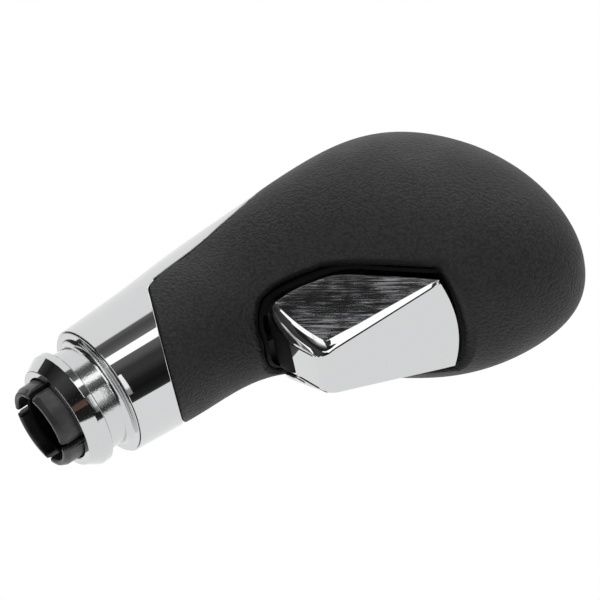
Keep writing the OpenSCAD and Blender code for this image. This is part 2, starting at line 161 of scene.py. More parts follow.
def group_of(name, inputs, outputs):
    """An empty node group. inputs and outputs are lists of name, kind and default."""
    tree = bpy.data.node_groups.new(name, "ShaderNodeTree")
    for title, kind, value in inputs:
        socket = tree.interface.new_socket(title, in_out="INPUT", socket_type="NodeSocket" + kind)
        socket.default_value = value
    for title, kind in outputs:
        tree.interface.new_socket(title, in_out="OUTPUT", socket_type="NodeSocket" + kind)
    return tree, tree.nodes.new("NodeGroupInput"), tree.nodes.new("NodeGroupOutput")


def placed(tree, group, **values):
    """Places a node group in a material with its own values."""
    made = tree.nodes.new("ShaderNodeGroup")
    made.node_tree = group
    feed(tree, made, **values)
    return made


def noise(tree, vector, scale, detail, roughness=0.5, **settings):
    """A noise texture of a place in space, with its size, depth and roughness."""
    return node(
        tree, "TexNoise", Vector=vector, Scale=scale, Detail=detail, Roughness=roughness, **settings
    )


def ramp(tree, source, low, high, start=0.0, end=1.0):
    """Turns a value between low and high into one between start and end, held at both ends."""
    made = node(
        tree, "MapRange", Value=source, From_Min=low, From_Max=high, To_Min=start, To_Max=end
    )
    return made, "Result"


# %% [markdown]
# ## Effects that several finishes share
# Handled metal carries a faint film of fingerprints: broad soft patches and short streaks
# where the gloss is a little lower. Moulded plastic carries the fine spark texture of its
# mould and a slightly uneven colour. Each is a node group with its own inputs, built once
# and placed in every material that needs it.

# %% Groups for handling marks and mould texture
handling, inlet, outlet = group_of(
    "Handling marks",
    [("Size", "Float", 60.0), ("Clean", "Float", 0.03), ("Smeared", "Float", 0.12)],
    [("Roughness", "Float"), ("Mask", "Float")],
)
spot = node(handling, "TexCoord"), "Object"
patches = noise(handling, spot, (inlet, "Size"), 3.0, 0.6)
stretch = node(handling, "Mapping", Vector=spot, Scale=(1.0, 1.0, 9.0), Rotation=(0.5, 0.3, 0.2))
finer = node(handling, "Math", (inlet, "Size"), 6.0, operation="MULTIPLY")
streaks = noise(handling, (stretch, "Vector"), (finer, 0), 5.0, 0.7)
patchy = ramp(handling, (patches, "Fac"), 0.42, 0.66)
streaky = ramp(handling, (streaks, "Fac"), 0.4, 0.7)
mask = node(handling, "Math", patchy, streaky, operation="MULTIPLY")
film = node(
    handling, "MapRange", Value=(mask, 0), To_Min=(inlet, "Clean"), To_Max=(inlet, "Smeared")
)
feed(handling, outlet, Roughness=(film, "Result"), Mask=(mask, 0))

moulding, inlet, outlet = group_of(
    "Mould texture",
    [
        ("Color", "Color", (0.02, 0.02, 0.02, 1)), ("Worn Color", "Color", (0.04, 0.04, 0.04, 1)),
        ("Size", "Float", 2500.0), ("Depth", "Float", 0.25),
        ("Gloss", "Float", 0.45), ("Dull", "Float", 0.62),
    ],
    [("Color", "Color"), ("Roughness", "Float"), ("Normal", "Vector")],
)
spot = node(moulding, "TexCoord"), "Object"
spark = noise(moulding, spot, (inlet, "Size"), 2.0, 0.55)
cloud = noise(moulding, spot, 160.0, 4.0)
lift = node(moulding, "Bump", Height=(spark, "Fac"), Strength=(inlet, "Depth"), Distance=0.00005)
tint = node(
    moulding, "Mix", data_type="RGBA", Factor=ramp(moulding, (cloud, "Fac"), 0.45, 0.75),
    A=(inlet, "Color"), B=(inlet, "Worn Color"),
)
dull = node(
    moulding, "MapRange", Value=(cloud, "Fac"), From_Min=0.35, From_Max=0.65,
    To_Min=(inlet, "Gloss"), To_Max=(inlet, "Dull"),
)
feed(moulding, outlet, Color=(tint, "Result"), Roughness=(dull, "Result"), Normal=(lift, "Normal"))
print("groups:", handling.name, "and", moulding.name)

# %% [markdown]
# ## Leather
# The skin is dark, dyed cowhide with a fine pebble grain: small rounded cells with soft
# creases between them, slightly glossier on top. The cells are a cell pattern in space,
# so they run unbroken over the whole head. A little noise bends them, because cells with
# straight sides look like tiles, and a second, larger noise varies the gloss as a hand does.
# Where the skin turns in at the trigger's opening, a point attribute darkens it towards black:
# painted shade, for the shade that falls into the opening.

# %% Leather
leather, tree, shader = finish_of(
    "dyed pebbled leather", (0.012, 0.012, 0.013), IOR=1.45, Specular_IOR_Level=0.4
)
spot = node(tree, "TexCoord"), "Object"
sway = noise(tree, spot, 1500.0, 2.0)
shift = node(
    tree, "MixRGB", blend_type="LINEAR_LIGHT", Fac=0.00035, Color1=spot, Color2=(sway, "Color")
)
pebbles = node(
    tree, "TexVoronoi", feature="SMOOTH_F1", Vector=(shift, "Color"), Scale=1700.0, Smoothness=0.35
)
fine = noise(tree, spot, 4200.0, 3.0)
broad = noise(tree, spot, 70.0, 3.0)
mixed = node(tree, "Math", (fine, "Fac"), 0.18, (pebbles, "Distance"), operation="MULTIPLY_ADD")
grain = node(tree, "Bump", Height=(mixed, 0), Strength=1.0, Distance=0.00022, invert=True)
tint = node(
    tree, "Mix", data_type="RGBA", Factor=ramp(tree, (pebbles, "Distance"), 0.3, 0.7),
    A=(0.0155, 0.0155, 0.0162, 1), B=(0.0085, 0.0085, 0.009, 1),
)
# painted shade: the skin's colour is mixed towards black where it turns into the trigger's opening
lip_shade_node = node(tree, "Attribute", attribute_name="edge_dye")
dyed_and_shaded = node(
    tree, "MixRGB", Fac=(lip_shade_node, "Fac"), Color1=(tint, "Result"), Color2=(0.001, 0.001, 0.001, 1)
)
gloss = ramp(tree, (broad, "Fac"), 0.35, 0.65, 0.5, 0.6)
feed(tree, shader, Base_Color=(dyed_and_shaded, "Color"), Roughness=gloss, Normal=(grain, "Normal"))
print("leather:", len(tree.nodes), "nodes")

# %% [markdown]
# ## Chrome
# The collar, the neck and the trigger cap are zinc castings with a bright chrome plate.
# Chrome has almost no colour of its own: what is seen is the room. The plate keeps a mirror
# finish with a faint film from hands. The turned neck is brushed round its axis instead,
# with the coarser grain of the casting left in its groove, and the trigger's flanks carry
# fine rubbing marks that run along them.

# %% Chrome finishes
chrome, tree, shader = finish_of("polished chrome", (0.64, 0.645, 0.65), Metallic=1.0)
marks = placed(tree, handling, Size=70.0, Clean=0.025, Smeared=0.07)
feed(tree, shader, Roughness=(marks, "Roughness"))

turned, tree, shader = finish_of("turned chrome", (0.62, 0.625, 0.63), Metallic=1.0)
spot = node(tree, "TexCoord"), "Object"
apart = node(tree, "SeparateXYZ", Vector=spot)
flat = node(tree, "Mapping", Vector=spot, Scale=(1.0, 1.0, 0.0))
across = node(tree, "VectorMath", (flat, "Vector"), operation="LENGTH")
both = node(tree, "CombineXYZ", X=(across, "Value"), Y=(apart, "Z"))
rings = noise(tree, (both, "Vector"), 5200.0, 3.0, noise_dimensions="2D")
soft = node(tree, "Bump", Height=(rings, "Fac"), Strength=0.12, Distance=0.00002)
marks = placed(tree, handling, Size=90.0, Clean=0.05, Smeared=0.14)
rough = noise(tree, spot, 2300.0, 3.0, 0.6)
above = ramp(tree, (apart, "Z"), 0.0066, 0.0069)
beneath = ramp(tree, (apart, "Z"), 0.0121, 0.0116)
groove = node(tree, "Math", above, beneath, operation="MULTIPLY")
relief = node(tree, "Math", (rough, "Fac"), (groove, 0), operation="MULTIPLY")
coarse = node(
    tree, "Bump", Height=(relief, 0), Strength=0.3, Distance=0.00006, Normal=(soft, "Normal")
)
dulled = node(
    tree, "MixRGB", blend_type="ADD", Fac=(groove, 0), Color1=(marks, "Roughness"),
    Color2=(0.08, 0.08, 0.08, 1),
)
feed(tree, shader, Roughness=(dulled, "Color"), Normal=(coarse, "Normal"))

rubbed, tree, shader = finish_of("rubbed chrome", (0.62, 0.625, 0.64), Metallic=1.0)
spot = node(tree, "TexCoord"), "Object"
swing = node(tree, "Mapping", Vector=spot, Rotation=(0.0, math.radians(41), 0.0))
lay = node(tree, "Mapping", Vector=(swing, "Vector"), Scale=(120.0, 3600.0, 3600.0))
lines = noise(tree, (lay, "Vector"), 1.0, 5.0, 0.6)
area = noise(tree, spot, 120.0, 3.0)
fine_rub, broad_rub = ramp(tree, (lines, "Fac"), 0.38, 0.7), ramp(tree, (area, "Fac"), 0.28, 0.58)
rub = node(tree, "Math", fine_rub, broad_rub, operation="MULTIPLY")
soft = node(tree, "Bump", Height=(lines, "Fac"), Strength=0.25, Distance=0.00003)
gloss = ramp(tree, (rub, 0), 0.0, 0.9, 0.07, 0.4)
feed(tree, shader, Roughness=gloss, Normal=(soft, "Normal"))
print("chrome finishes:", chrome.name, turned.name, "and", rubbed.name)

# %% [markdown]
# ## Plastics, rubber and steel
# The fingers, the liner and the inner parts are moulded nylon and acetal, the stops are
# rubber, and the pins, screws and springs are zinc plated steel. They all take the shared
# groups, each with its own colour, grain size and gloss.

# %% Moulded and plated finishes


def moulded(name, colour, worn, size=2500.0, depth=0.25, gloss=0.42, dull=0.6):
    """A moulded finish with its own colour, texture size, depth and gloss."""
    made, tree, shader = finish_of(name, colour)
    skin = placed(
        tree, moulding, Size=size, Depth=depth, Gloss=gloss, Dull=dull,
        Color=(*colour, 1), Worn_Color=(*worn, 1),
    )
    feed(
        tree, shader, Base_Color=(skin, "Color"), Roughness=(skin, "Roughness"),
        Normal=(skin, "Normal"),
    )
    return made


# name, colour, worn colour, texture size, depth, gloss, dull
black_nylon = moulded("black nylon", (0.006, 0.006, 0.0065), (0.012,) * 3, 1800.0, 0.2, 0.3, 0.42)
finger_nylon = moulded(
    "worn black nylon", (0.02, 0.02, 0.021), (0.06,) * 3, 1400.0, 0.3, 0.28, 0.42
)
core_plastic = moulded("grey core plastic", (0.045, 0.045, 0.048), (0.06, 0.06, 0.062))
liner = moulded("black liner", (0.002,) * 3, (0.004,) * 3, 3200.0, 0.3, 0.6, 0.75)
liner.node_tree.nodes["Principled BSDF"].inputs["Specular IOR Level"].default_value = 0.12
white_nylon = moulded("natural nylon", (0.72, 0.7, 0.64), (0.6, 0.57, 0.5), 1500.0, 0.15, 0.35, 0.5)
rubber = moulded("black rubber", (0.012,) * 3, (0.03,) * 3, 900.0, 0.5, 0.65, 0.8)
steel, tree, shader = finish_of("zinc plated steel", (0.56, 0.57, 0.58), Metallic=1.0)
marks = placed(tree, handling, Size=300.0, Clean=0.2, Smeared=0.38)
feed(tree, shader, Roughness=(marks, "Roughness"))

finishes = {
    "leather": leather,
    "chrome": chrome,
    "core": core_plastic,
    "black_nylon": black_nylon,
    "white_nylon": white_nylon,
    "bezel": liner,
    "steel": steel,
    "rubber": rubber,
}
for row in frame["record"]["subparts"]:
    cad = frame["nodes"][row["node"]]
    cad.data.materials.clear()
    cad.data.materials.append(finishes[row["material_slot"]])
frame["nodes"]["trigger_carrier"].data.materials[0] = liner

# %% [markdown]
# ## The form of the grip
# The head and the neck are one flowing form: a stack of slightly squared ellipses, whose
# front, back and half width follow a smooth spline through eleven control rows. The CAD
# model uses the same rows, so the skin made here lies exactly on its core. For drawing on
# the form it is laid out as a disc: the centre is the top of the head, and the distance
# from the centre is the way down the side.

# %% Spline through the control rows
# height, front, back, half width, roundness
control = np.array(
    [
        [12.2, 13.5, -13.5, 13.5, 2],
        [20, 14.2, -14.1, 13.9, 2],
        [28, 15, -14.6, 14.2, 2],
        [36, 14, -15.3, 14.6, 2.1],
        [46, 17, -17.2, 14.2, 2.15],
        [58, 26, -14.2, 19.5, 2.15],
        [72, 44.5, -13.8, 24.3, 2.15],
        [88, 50.5, -14.2, 22.4, 2.15],
        [99.2, 48.5, -4.8, 16.8, 2.15],
        [104, 37, 8, 10.6, 2.1],
        [104, 21.6, 21.6, 0, 2],
    ]
)


def spline_weights(u, rows):
    """How much each control row counts at u: a clamped cubic B-spline by the rule of Cox and
    de Boor, in which each degree blends two neighbours of the degree below."""
    knots = np.clip(np.arange(rows + 4) - 3, 0, rows - 3).astype(float)
    u = np.asarray(u, float)[..., None]
    weight = ((u >= knots[:-1]) & (u < knots[1:])).astype(float)
    for degree in (1, 2, 3):
        rise = knots[degree:-1] - knots[: -degree - 1]
        fall = knots[degree + 1 :] - knots[1:-degree]
        up = np.where(rise > 0, (u - knots[: -degree - 1]) / np.maximum(rise, 1e-9), 0)
        down = np.where(fall > 0, (knots[degree + 1 :] - u) / np.maximum(fall, 1e-9), 0)
        weight = up * weight[..., :-1] + down * weight[..., 1:]
    return weight


spans = len(control) - 3
levels = np.linspace(0, spans - 1e-9, 6001)
rows_at = spline_weights(levels, len(control)) @ control
reach = (rows_at[:, 1] - rows_at[:, 2]) / 4 + rows_at[:, 3] / 2
steps = np.hypot(np.diff(rows_at[:, 0]), np.diff(reach))
way_down = np.append(np.cumsum(steps[::-1])[::-1], 0.0)
print(f"way from the top to the rim: {way_down[0]:.1f} mm")

# %% A point of the form, and the way it faces


def form(p):
    """The point of the grip under a point of the disc. The distance from the centre gives the
    level, and the direction gives the turn: x is the middle plus the half length times the
    cosine, y the half width times the sine, both raised to 2 / roundness."""
    far = np.hypot(p[..., 0], p[..., 1])
    turn = np.arctan2(p[..., 1], p[..., 0])
    z, front, back, half, power = (
        np.interp(far, way_down[::-1], column[::-1]) for column in rows_at.T
    )
    cosine, sine = np.cos(turn), np.sin(turn)
    x = (front + back) / 2 + (front - back) / 2 * np.sign(cosine) * np.abs(cosine) ** (2 / power)
    y = half * np.sign(sine) * np.abs(sine) ** (2 / power)
    return np.stack([x, y, z], -1)


def facing(p, step=0.04):
    """The outward normal: the cross product of the form's slopes along the disc's two axes."""
    right, ahead = np.array([step, 0.0]), np.array([0.0, step])
    normal = np.cross(form(p + right) - form(p - right), form(p + ahead) - form(p - ahead))
    return normal / np.linalg.norm(normal, axis=-1, keepdims=True)


def crossing(start, end, beyond):
    """Where a test turns from false to true between two arrays of numbers, by halving."""
    for _ in range(36):
        middle = (start + end) / 2
        hit = beyond(middle)
        start, end = np.where(hit, start, middle), np.where(hit, middle, end)
    return (start + end) / 2


top_point = form(np.zeros((1, 2)))[0]
print("top of the head:", top_point.round(2), "facing", facing(np.zeros((1, 2)))[0].round(2))

# %% [markdown]
# ## Two lines on the form
# The leather ends at two lines: below and behind, where the chrome collar and its tongue
# begin, and in front, round the opening for the trigger. The collar's line is drawn in the
# side view as a few straight stretches whose corners are eased by a running mean. The
# opening is drawn in the front view as a band stretched round three pairs of circles, a
# little tighter at its top.

# %% The collar's line and the trigger's opening
bow_radius, tighter_top, pocket_back = 26, 0.9, 11
bow = np.linspace(0, 1, 9)[1:, None]
waist, tip = np.array([-5.4, 50.0]), np.array([-14.5, 72.0])
chord = tip - waist
bulge = bow_radius - math.sqrt(bow_radius**2 - (chord @ chord) / 4)
outside = np.array([chord[1], -chord[0]]) / np.linalg.norm(chord)
tongue = waist + chord * bow + outside * bulge * 4 * bow * (1 - bow)
corners = np.vstack(
    [[[60, -2.7], [-2, 29.54], [-3.6, 33], [-4.8, 43.5], [-5.4, 50]], tongue, [[-24, 77.5]]]
)
stations = np.append(0, np.cumsum(np.linalg.norm(np.diff(corners, axis=0), axis=1)))
fine_stations = np.arange(0, stations[-1], 0.2)
line = np.stack([np.interp(fine_stations, stations, corners[:, k]) for k in (0, 1)], -1)
window = np.hanning(17) / np.hanning(17).sum()
line = np.stack([np.convolve(line[:, k], window, mode="valid") for k in (0, 1)], -1)[::2]


def below_line(points, gap=0.0):
    """True on the collar's side of its line, moved by gap. The nearest stretch of the line
    decides: the cross product of its way with the way to the point tells the side."""
    side_view = points[:, [0, 2]]
    start, way = line[:-1], np.diff(line, axis=0)
    offset = side_view[:, None] - start
    share = np.clip((offset * way).sum(-1) / (way * way).sum(-1), 0, 1)
    rest = offset - share[..., None] * way
    nearest = (rest**2).sum(-1).argmin(1)
    pick = np.arange(len(points))
    rest, way, offset = rest[pick, nearest], way[nearest], offset[pick, nearest]
    side = np.sign(way[:, 0] * offset[:, 1] - way[:, 1] * offset[:, 0])
    return side * np.linalg.norm(rest, axis=1) > gap


circles = np.array([[3, 49, 7], [4.4, 60, 9], [11.2, 70.7, 1]])
circles = np.vstack([circles, circles * [-1, 1, 1]])
turns = np.linspace(0, 2 * np.pi, 721)[:-1]
ways = np.stack([np.cos(turns), np.sin(turns)], -1)
support = (circles[:, :2] @ ways.T + circles[:, 2:]).max(0)
heart = ways @ [0.0, 58.0]
window = np.hanning(45) / np.hanning(45).sum()
support = heart + np.convolve(np.pad(support - heart, 22, mode="wrap"), window, mode="valid")
support -= tighter_top * np.clip(ways[:, 1], 0, 1) ** 4


def past_opening(points):
    """True outside the stretched band: some direction exists in which the point lies further
    out than every circle. All that lies behind the pocket counts as outside."""
    over = (points[:, 1:] @ ways.T - support).max(1)
    return (over > 0) | (points[:, 0] < pocket_back)


print("collar line of", len(line), "points, opening of", len(ways), "directions")

# %% [markdown]
# ## A shell with rolled edges
# Leather is cut, turned over at its edges and glued down, and a casting has a rounded rim.
# Both are a main surface, a quarter round at each edge and an inner surface that closes
# the shell. One function builds them all: it takes the main surface as rows of points and
# adds the rounds, going on in the direction that the surface had at its edge.

# %% The shell


def shell(grid, normals, edges, thick, skip=8):
    """Rows of a closed shell. grid is rows by columns by 3. edges gives for the first and the
    last row the radius, the depth and the way in, or None for straight in. A round follows
    start + radius * (sin * ahead + (1 - cos) * inwards), a quarter turn long."""
    quarter = np.linspace(0, np.pi / 2, 9)[1:, None, None]
    made = []
    for edge, (radius, depth, inwards) in zip((0, -1), edges):
        start, normal = grid[edge], normals[edge]
        along = np.roll(start, -1, 0) - np.roll(start, 1, 0)
        ahead = np.cross(along, normal)
        ahead /= np.linalg.norm(ahead, axis=1, keepdims=True)
        inner = grid[1] if edge == 0 else grid[-2]
        ahead *= np.sign(((start - inner) * ahead).sum(1, keepdims=True))
        inward = -normal if inwards is None else np.broadcast_to(inwards, start.shape)
        arc = start + radius * (np.sin(quarter) * ahead + (1 - np.cos(quarter)) * inward)
        tilt = np.sin(quarter) * ahead - np.cos(quarter) * inward
        end = arc[-1:] + (depth - radius) * inward
        made.append((np.concatenate([arc, end]), np.concatenate([tilt, tilt[-1:]])))
    inner_rows = np.append(np.arange(len(grid) - 1, 0, -skip), 0)
    under = grid[inner_rows] - thick * normals[inner_rows]
    rows = np.concatenate([grid, made[1][0], under, made[0][0][::-1]])
    facings = np.concatenate([normals, made[1][1], -normals[inner_rows], made[0][1][::-1]])
    return rows, facings


print("shell: main rows, round, inner rows, round")

# %% [markdown]
# ## The leather skin
# Seen on the disc, the skin is a ring between the opening and the collar's line. Rays from
# the middle of the opening cross each line once, so the grid's columns are such rays. They
# are spread so that both lines get even steps. The edge at the trigger rolls in softly over
# 2 mm, and the one at the collar is turned over tightly.

# %% The skin's grid
opening_middle_z = 58
middle = np.array([np.interp(opening_middle_z, rows_at[:, 0], way_down), 0.0])
dense = np.linspace(0, 2 * np.pi, 1441)


def rays(angles):
    """Where rays from the opening's middle cross the opening and the collar's line."""
    heading = np.stack([np.cos(angles), np.sin(angles)], -1)
    dot = heading @ middle
    rim = -dot + np.sqrt(dot**2 + (way_down[0] - 0.01) ** 2 - middle @ middle)
    nothing = np.zeros_like(rim)

    def reached(t):
        return form(middle + t[:, None] * heading)

    collar = crossing(nothing, rim, lambda t: below_line(reached(t)))
    opening = crossing(nothing, collar, lambda t: past_opening(reached(t)))
    return heading, opening, collar


def evenly(gaps, count):
    """Angles whose steps along an edge are even: the length so far, as a share of the whole,
    read the other way round."""
    spread = np.append(0, np.cumsum(gaps)) / gaps.sum()
    return np.interp(np.arange(count) / count, spread, dense)


def per_step(base, t, heading, probe=0.02):
    """The length, square to the edge, of one step along each ray."""
    edge = form(base + t[:, None] * heading)
    step = (form(base + (t + probe)[:, None] * heading) - edge) / probe
    along = np.roll(edge, -1, 0) - np.roll(edge, 1, 0)
    along /= np.linalg.norm(along, axis=1, keepdims=True)
    return np.linalg.norm(np.cross(step, along), axis=1)


heading, opening, collar = rays(dense)
gaps = 0
for reach_of in (opening, collar):
    loop = form(middle + reach_of[:, None] * heading)
    gaps = gaps + np.linalg.norm(np.diff(loop, axis=0), axis=1)
skin_columns, skin_rows_across, leather_thick = 440, 150, 1.35
heading, opening, collar = rays(evenly(gaps, skin_columns))
# the rounds start one radius before the two lines, so that they end on them
lip, lip_depth, fold, fold_depth = 1.9, 3.4, 0.6, 1.4
first = opening + lip / per_step(middle, opening, heading)
last = collar - fold / per_step(middle, collar, heading)
share = np.linspace(0, 1, skin_rows_across)[:, None]
disc = middle + (first + (last - first) * share)[..., None] * heading
backwards = [-1.0, 0.0, 0.0]
skin_edges = [(lip, lip_depth, backwards), (fold, fold_depth, None)]
skin_rows, skin_normals = shell(form(disc), facing(disc), skin_edges, leather_thick)
skin = piece(
    "stretched_leather_skin", skin_rows, cells(*skin_rows.shape[:2]), leather,
    "grip", "leather_cover", skin_normals,
)
# painted shade in the trigger's opening: black at the lip's inner end, 0.35 where its round meets
# the face, fading out over the face's first six rows
lip_shade_amounts = np.zeros(skin_rows.shape[:2])
lip_shade_amounts[:6] = np.linspace(0.3, 0, 6)[:, None]
lip_shade_amounts[-10:] = np.linspace(1, 0.35, 10)[:, None]
edge_dye = skin.data.attributes.new("edge_dye", "FLOAT", "POINT")
edge_dye.data.foreach_set("value", lip_shade_amounts.ravel())

# %% [markdown]
# ## The chrome collar and its tongue
# The collar is one casting: a cup round the neck whose back runs up the grip as a tongue.
# Its columns run straight up from the rim, and each ends at the collar's line. The edge is
# a thin polished round, just clear of the leather.

# %% The collar's grid


def climb(angle):
    """How far down the disc each column of the collar ends, just clear of the leather."""
    heading = np.stack([np.cos(angle), np.sin(angle)], -1)
    start, end = np.full_like(angle, way_down[0] - 0.001), np.full_like(angle, 5.0)
    past = crossing(
        start, end, lambda t: ~below_line(form(t[:, None] * heading), clear_of_leather)
    )
    return past, heading


collar_columns, collar_rows_up, collar_wall, clear_of_leather = 420, 110, 1.4, 0.14
rim_round, edge_round = 0.16, 0.28
ends, heading = climb(dense)
gaps = np.linalg.norm(np.diff(form(ends[:, None] * heading), axis=0), axis=1) + 0.03
ends, heading = climb(evenly(gaps, collar_columns))
upper = ends + edge_round / per_step(0.0, ends, heading)
lower = np.full_like(upper, way_down[0] - rim_round)
share = np.linspace(0, 1, collar_rows_up)[:, None]
disc = (lower + (upper - lower) * share)[..., None] * heading
collar_edges = [(rim_round, collar_wall, None), (edge_round, collar_wall, None)]
collar_rows, collar_normals = shell(form(disc), facing(disc), collar_edges, collar_wall)
piece(
    "chrome_neck_collar", collar_rows, cells(*collar_rows.shape[:2]), chrome,
    "grip", "chrome_collar", collar_normals,
)

# %% [markdown]
# ## Turned parts
# The neck sleeve and the socket inside it are turned round the lever's axis. A lathe part
# is a profile carried round a circle. The profile is a list of corners, and each corner is
# rounded by its own radius, as a turning tool and polishing leave it.

# %% Rounded profiles and the lathe


def rounded(corners, radii, steps=7):
    """A closed profile with rounded corners, and the way each point faces. A corner's round
    touches both its sides: its centre lies one radius inside them, and its points are the
    centre plus the radius times a direction that swings from one side's normal to the next."""
    corners = np.asarray(corners, float)
    before, after = np.roll(corners, 1, 0), np.roll(corners, -1, 0)
    side = np.linalg.norm(after - corners, axis=1)
    coming, going = corners - before, after - corners
    coming /= np.linalg.norm(coming, axis=1, keepdims=True)
    going /= side[:, None]
    bend = np.arctan2(
        coming[:, 0] * going[:, 1] - coming[:, 1] * going[:, 0], (coming * going).sum(1)
    )
    touch = np.abs(np.tan(bend / 2)) * np.asarray(radii, float)
    touch = np.minimum(touch, 0.49 * np.minimum(side, np.roll(side, 1)))
    radius = touch / np.maximum(np.abs(np.tan(bend / 2)), 1e-9)
    first_turn = np.arctan2(-coming[:, 0], coming[:, 1])
    turn = first_turn[:, None] + bend[:, None] * np.linspace(0, 1, steps)
    normal = np.stack([np.cos(turn), np.sin(turn)], -1)
    sign, radius = np.sign(bend)[:, None, None], radius[:, None, None]
    centre = (corners - coming * touch[:, None])[:, None] - sign * radius * normal[:, :1]
    points = centre + sign * radius * normal
    return points.reshape(-1, 2), normal.reshape(-1, 2)


def lathe(profile, facings, sides):
    """Carries a profile of radius and height round the z axis, and its facings with it."""
    turn = np.arange(sides) * 2 * np.pi / sides
    ring = np.stack([np.cos(turn), np.sin(turn)], -1)

    def carried(pairs):
        heights = np.broadcast_to(pairs[:, None, 1:], (len(pairs), sides, 1))
        return np.concatenate([pairs[:, None, :1] * ring, heights], -1)

    return carried(profile), carried(facings)


sleeve_profile = [
    [8.9, 4.8], [8.9, 2.1], [10.45, 2.1], [12.1, 5.0], [12.1, 6.45], [11.9, 6.65],
    [10.7, 6.8], [10.7, 11.9], [13.2, 11.9], [13.2, 12.1],
    [11.9, 12.1], [11.9, 20.2], [11.0, 20.2], [11.0, 12.1], [9.2, 12.1], [9.2, 4.8],
]
sleeve_radii = [0.1, 0.25, 0.2, 0.35, 0.12, 0.1, 0.1, 2.35, 0.04, 0.06] + [0.1] * 6
profile, facings = rounded(sleeve_profile, sleeve_radii)
ring_points, ring_normals = lathe(profile, facings, 256)
piece(
    "turned_neck_sleeve", ring_points, cells(*ring_points.shape[:2]), turned,
    "grip", "neck_sleeve", ring_normals,
)
socket_profile = [
    [6.05, 0], [7.0, 0], [7.0, 8], [8.0, 8], [8.0, 30], [2.6, 30], [2.6, 26], [6.05, 26],
]
profile, facings = rounded(socket_profile, [0.2, 0.25, 0.1, 0.2, 0.2, 0.1, 0.1, 0.1])
ring_points, ring_normals = lathe(profile, facings, 160)
piece(
    "moulded_lever_socket", ring_points, cells(*ring_points.shape[:2]), liner,
    "grip", "lever_socket", ring_normals,
)

# %% [markdown]
# ## The locking fingers
# Below the neck, four springy nylon fingers snap over the lever's base. Each is a piece of
# a turned ring between two straight slots, with its edges rounded by the mould. A finger is
# its profile carried along an arc, drawn in a little at both ends. Above the slots the
# fingers join in a ring with a foot that sits in the sleeve.

# %% The fingers and their ring


def finger(corners, radii, slot, edge=0.25, columns=20):
    """One finger: its profile carried from one slot's wall to the next. At radius r the wall
    is reached at the arc sine of half the slot over r. The last steps at both ends draw the
    profile in towards its middle by a quarter round, which rounds the finger's edges."""
    profile, _ = rounded(corners, radii, 5)
    quarter = np.linspace(0, np.pi / 2, 6)
    draw, near = 1 - np.sin(quarter), edge * (1 - np.cos(quarter))
    drawn = np.concatenate([draw, np.zeros(columns), draw[::-1]]) * edge
    nearer = np.concatenate([near, np.full(columns, edge), near[::-1]])
    run = np.concatenate([np.zeros(6), np.linspace(0, 1, columns), np.ones(6)])[:, None]
    offset = profile.mean(0) - profile
    shape = profile + np.sign(offset) * np.minimum(np.abs(offset) * 0.5, drawn[:, None, None])
    radius = shape[..., 0]
    start = np.arcsin((slot / 2 + nearer[:, None]) / radius)
    angle = start + (np.pi / 2 - 2 * start) * run
    return np.stack([radius * np.cos(angle), radius * np.sin(angle), shape[..., 1]], -1)


parts, faces, count = [], [], 0
slot_width = 1.25
shape = finger(
    [[7.35, -2.0], [8.1, -2.0], [8.6, -0.9], [8.6, 5.6], [7.1, 5.6], [7.1, -1.7]],
    [0.15, 0.3, 0.5, 0.1, 0.1, 0.2], slot_width,
)
rows, cols = shape.shape[:2]
for quarter in range(4):
    c, s = round(math.cos(quarter * math.pi / 2)), round(math.sin(quarter * math.pi / 2))
    turned_shape = shape @ np.array([[c, s, 0], [-s, c, 0], [0, 0, 1.0]])
    faces += cells(rows, cols, wrap_rows=False, first=count).tolist()
    faces.append(list(range(count, count + cols)))
    count += rows * cols
    faces.append(list(range(count - cols, count)))
    parts.append(turned_shape.reshape(-1, 3))
profile, facings = rounded(
    [[7.1, 5.3], [9.1, 5.3], [9.1, 12.0], [8.1, 12.0], [8.1, 8.0], [7.1, 8.0]], [0.1] * 6, 3
)
ring_points, _ = lathe(profile, facings, 128)
faces += cells(*ring_points.shape[:2], first=count).tolist()
parts.append(ring_points.reshape(-1, 3))
piece(
    "moulded_lock_fingers", np.concatenate(parts), faces, finger_nylon,
    "grip", "clip_collet",
)

# %% [markdown]
# ## The trigger's chrome cap
# The trigger is a faceted casting: two flat flanks, a broad front face that is a little
# bowed, bright bevels between them, and a softly rounded toe that turns into the
# underside. A casting like this could be cut from a block, but its edges are curves, so
# each edge is written down as a smooth line through a few points, and every facet is the
# strip between two such lines. The bevels are rounded towards the front and the
# underside, which is why they show a bright band and then a dark one.

# %% The flank and its lines


def edge_line(points, count):
    """A smooth line through all the points: the grip's kind of spline, whose control rows are
    found by solving for the weights at evenly spaced places."""
    points = np.asarray(points, float)
    last = len(points) - 3 - 1e-9
    rows = np.linalg.solve(spline_weights(np.linspace(0, last, len(points)), len(points)), points)
    return spline_weights(np.linspace(0, last, count), len(points)) @ rows


def arc(start, corner, end, count=9):
    """Curves from start to end, drawn towards a corner: the three points weighed by the
    square of what is left, twice the product, and the square of what is done."""
    t = np.linspace(0, 1, count).reshape(-1, *[1] * np.ndim(start))
    return (1 - t) ** 2 * start + 2 * t * (1 - t) * corner + t**2 * end


flank_way = np.array([0.281, -0.917, -0.283])
flank_way /= np.linalg.norm(flank_way)
flank_top = np.array([38.01, -11.2, 69.35])


def on_flank(p):
    """Drops points square onto the flank's plane."""
    p = np.asarray(p, float)
    return p - ((p - flank_top) @ flank_way)[..., None] * flank_way


